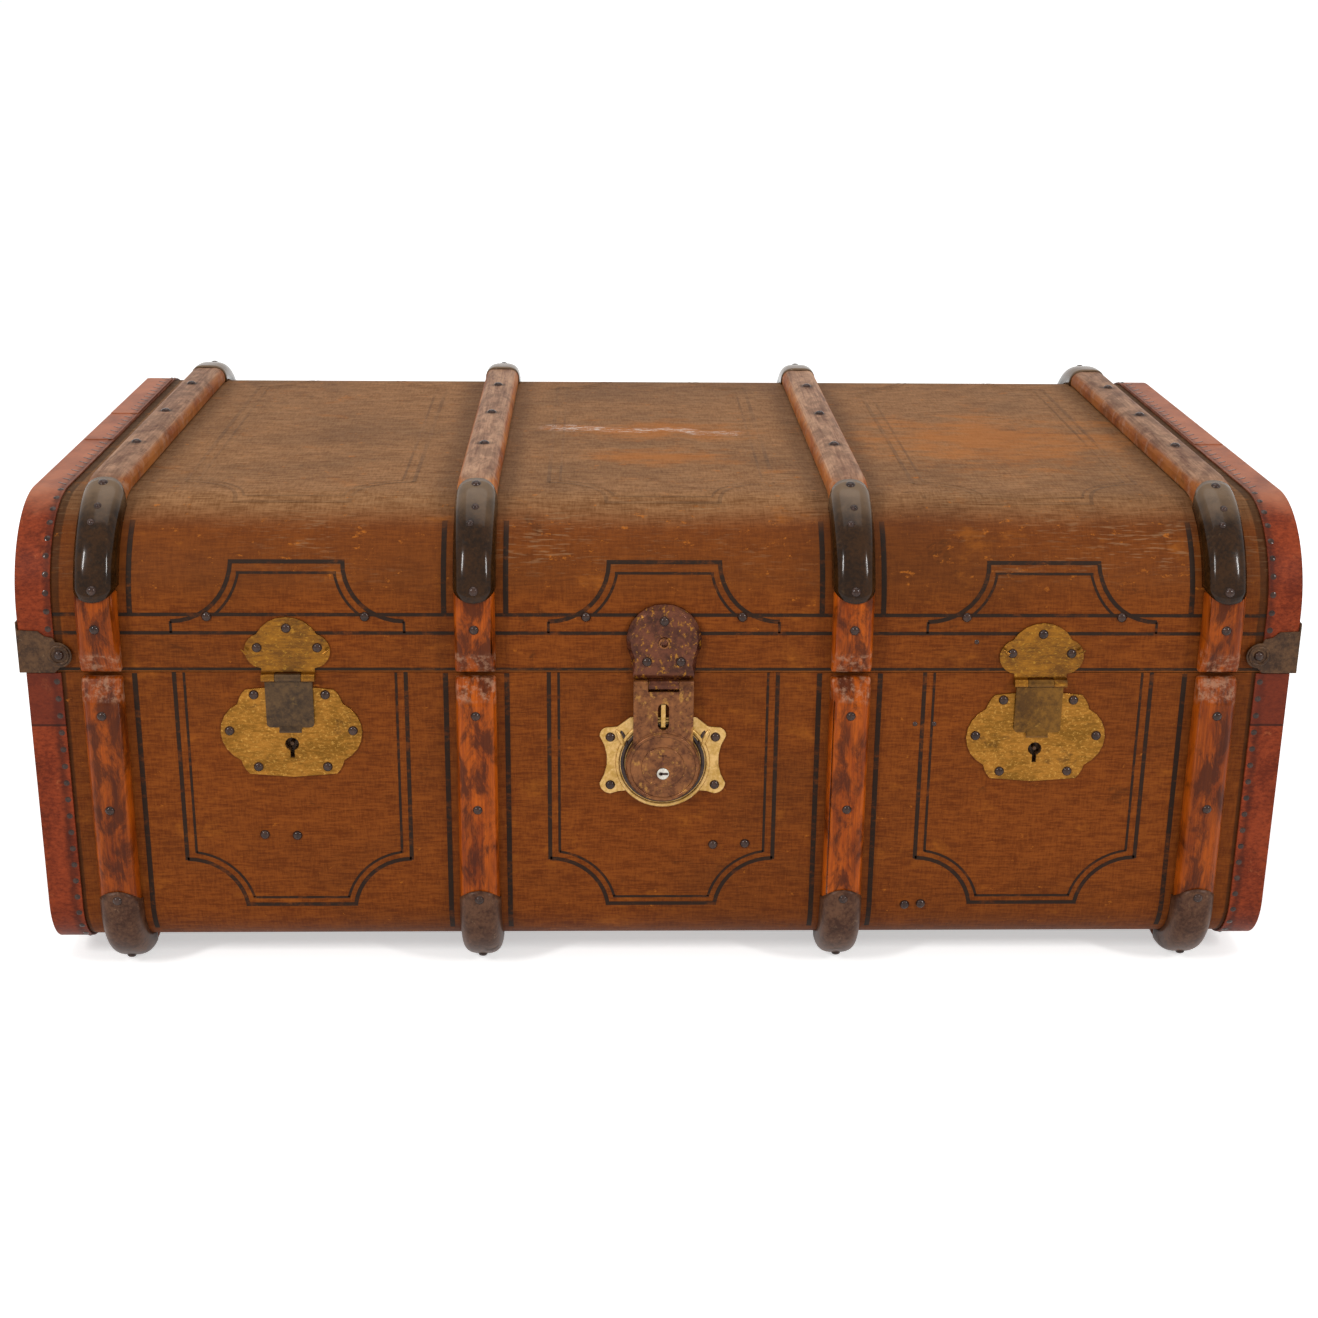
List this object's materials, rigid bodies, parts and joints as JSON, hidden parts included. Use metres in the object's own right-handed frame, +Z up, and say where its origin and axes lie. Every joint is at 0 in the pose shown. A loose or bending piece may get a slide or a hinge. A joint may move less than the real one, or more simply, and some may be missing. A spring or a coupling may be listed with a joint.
{
  "type": "travel trunk",
  "caption": "Slatted travel trunk with a hinged lid, steel corner clamps, brass hasp locks on the front and a hanging handle at each end.",
  "frame": {"origin": "on the floor, under the middle of the trunk", "axes": "+X along the trunk to the right as seen from the front, +Y from the front to the back, +Z up"},
  "size_m": [0.9372, 0.563, 0.3706],
  "materials": {
    "canvas": "painted canvas, worn satin",
    "board": "plain board, unfinished",
    "lining": "plain cotton lining, matte",
    "slat_wood": "varnished hardwood, worn on the crowns",
    "lip_wood": "plain softwood",
    "binding_fibre": "pressed fibre strip, satin",
    "clamp_steel": "japanned steel, glossy and worn",
    "lock_brass": "tarnished brass plate, scratched",
    "flap_bronze": "darkened bronze, worn edges",
    "hasp_copper": "coppered steel, worn to yellow",
    "centre_brass": "pale brass plate, dull",
    "plug_steel": "bright steel",
    "rivet_steel": "dark rivet heads",
    "hinge_steel": "dark steel",
    "case_steel": "dark steel",
    "handle_leather": "dark saddle leather, worn"
  },
  "bodies": {
    "base": {"base_wrap_board": "board", "base_end_board_right": "board", "base_end_board_left": "board", "base_canvas": "canvas", "base_lining": "lining", "base_binding_right": "binding_fibre", "base_binding_left": "binding_fibre", "base_rim_lip": "lip_wood", "base_front_slat_1": "slat_wood", "base_front_slat_2": "slat_wood", "base_front_slat_3": "slat_wood", "base_front_slat_4": "slat_wood", "base_back_slats": "slat_wood", "base_bottom_slats": "slat_wood", "base_front_shoes": "clamp_steel", "base_back_shoes": "clamp_steel", "lock_plates": "lock_brass", "lock_cases": "case_steel", "centre_lock_plate": "centre_brass", "centre_staple": "hinge_steel", "base_hinge_leaves": "hinge_steel", "hinge_pins": "hinge_steel", "handle_loops": "hinge_steel", "base_rivets": "rivet_steel"},
    "lid": {"lid_wrap_board": "board", "lid_end_board_right": "board", "lid_end_board_left": "board", "lid_canvas": "canvas", "lid_lining": "lining", "lid_binding_right": "binding_fibre", "lid_binding_left": "binding_fibre", "lid_front_slat_1": "slat_wood", "lid_front_slat_2": "slat_wood", "lid_front_slat_3": "slat_wood", "lid_front_slat_4": "slat_wood", "lid_top_slat_1": "slat_wood", "lid_top_slat_2": "slat_wood", "lid_top_slat_3": "slat_wood", "lid_top_slat_4": "slat_wood", "lid_back_slats": "slat_wood", "lid_front_clamps": "clamp_steel", "lid_back_clamps": "clamp_steel", "hasp_plates": "lock_brass", "centre_hasp_plate": "hasp_copper", "hasp_pins": "hinge_steel", "lid_corner_brackets": "clamp_steel", "lid_rivets": "rivet_steel", "lid_hinge_leaves": "hinge_steel"},
    "hasp_flap_left": {"hasp_flap_left": "flap_bronze"},
    "hasp_flap_right": {"hasp_flap_right": "lock_brass"},
    "centre_hasp": {"centre_hasp": "hasp_copper"},
    "key_plug": {"key_plug": "plug_steel"},
    "handle_left": {"handle_left": "handle_leather"},
    "handle_right": {"handle_right": "handle_leather"}
  },
  "joints": [
    {"name": "lid_hinge", "type": "hinge", "parent": "base", "child": "lid", "pos_m": [0, 0.2692, 0.2393], "axis": [-1, 0, 0], "range_deg": [0, 100]},
    {"name": "hasp_left_hinge", "type": "hinge", "parent": "lid", "child": "hasp_flap_left", "pos_m": [-0.2685, -0.2685, 0.2362], "axis": [-1, 0, 0], "range_deg": [0, 150]},
    {"name": "hasp_right_hinge", "type": "hinge", "parent": "lid", "child": "hasp_flap_right", "pos_m": [0.2725, -0.2685, 0.2322], "axis": [-1, 0, 0], "range_deg": [0, 150]},
    {"name": "centre_hasp_hinge", "type": "hinge", "parent": "lid", "child": "centre_hasp", "pos_m": [0, -0.2691, 0.231], "axis": [-1, 0, 0], "range_deg": [0, 135]},
    {"name": "key_turn", "type": "hinge", "parent": "centre_hasp", "child": "key_plug", "pos_m": [0, -0.27, 0.1647], "axis": [0, 1, 0], "range_deg": [0, 90]},
    {"name": "handle_right_pivot", "type": "hinge", "parent": "base", "child": "handle_right", "pos_m": [0.4626, 0, 0.165], "axis": [0, -1, 0], "range_deg": [0, 165]},
    {"name": "handle_left_pivot", "type": "hinge", "parent": "base", "child": "handle_left", "pos_m": [-0.4626, 0, 0.165], "axis": [0, 1, 0], "range_deg": [0, 165]}
  ]
}
